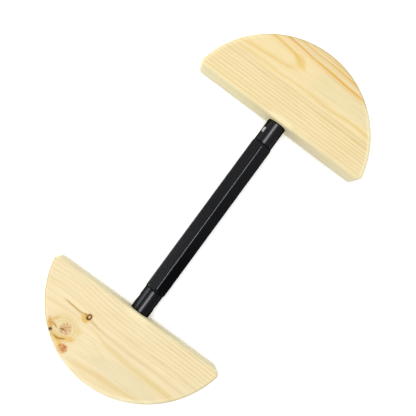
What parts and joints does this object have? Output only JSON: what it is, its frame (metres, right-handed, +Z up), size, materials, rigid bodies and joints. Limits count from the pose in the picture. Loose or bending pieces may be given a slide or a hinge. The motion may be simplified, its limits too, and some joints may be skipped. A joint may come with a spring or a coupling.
{
  "type": "hat stretcher",
  "caption": "Hat stretcher: half-moon pine blocks on a hexagonal turnbuckle, which pushes them apart inside a hat when it is turned.",
  "frame": {"origin": "under the middle of the turnbuckle, on the surface that the blocks lie on", "axes": "+Y along the turnbuckle to the front block, +X across the blocks, +Z up through the boards"},
  "size_m": [0.0928, 0.1906, 0.02],
  "materials": {
    "pine": "sanded, bare",
    "blackened_steel": "black, satin",
    "bright_steel": "bright zinc"
  },
  "bodies": {
    "turnbuckle": {"turnbuckle_body": "blackened_steel"},
    "front_stud": {"front_stud": "bright_steel"},
    "front_block": {"front_block": "pine"},
    "rear_stud": {"rear_stud": "bright_steel"},
    "rear_block": {"rear_block": "pine"}
  },
  "joints": [
    {"name": "front_slide", "type": "slide", "parent": "turnbuckle", "child": "front_stud", "axis": [0, 1, 0], "range_m": [0, 0.018]},
    {"name": "front_turn", "type": "hinge", "parent": "front_stud", "child": "front_block", "pos_m": [0, 0, 0.01], "axis": [0, 1, 0], "range_deg": [0, 6480]},
    {"name": "rear_slide", "type": "slide", "parent": "turnbuckle", "child": "rear_stud", "axis": [0, -1, 0], "range_m": [0, 0.018]},
    {"name": "rear_turn", "type": "hinge", "parent": "rear_stud", "child": "rear_block", "pos_m": [0, 0, 0.01], "axis": [0, 1, 0], "range_deg": [0, 6480]}
  ],
  "couplings": [
    {"joint": "front_slide", "follows": "front_turn", "m_per_rad": 0.00015915},
    {"joint": "rear_slide", "follows": "front_turn", "m_per_rad": 0.00015915},
    {"joint": "rear_turn", "follows": "front_turn", "ratio": 1}
  ]
}
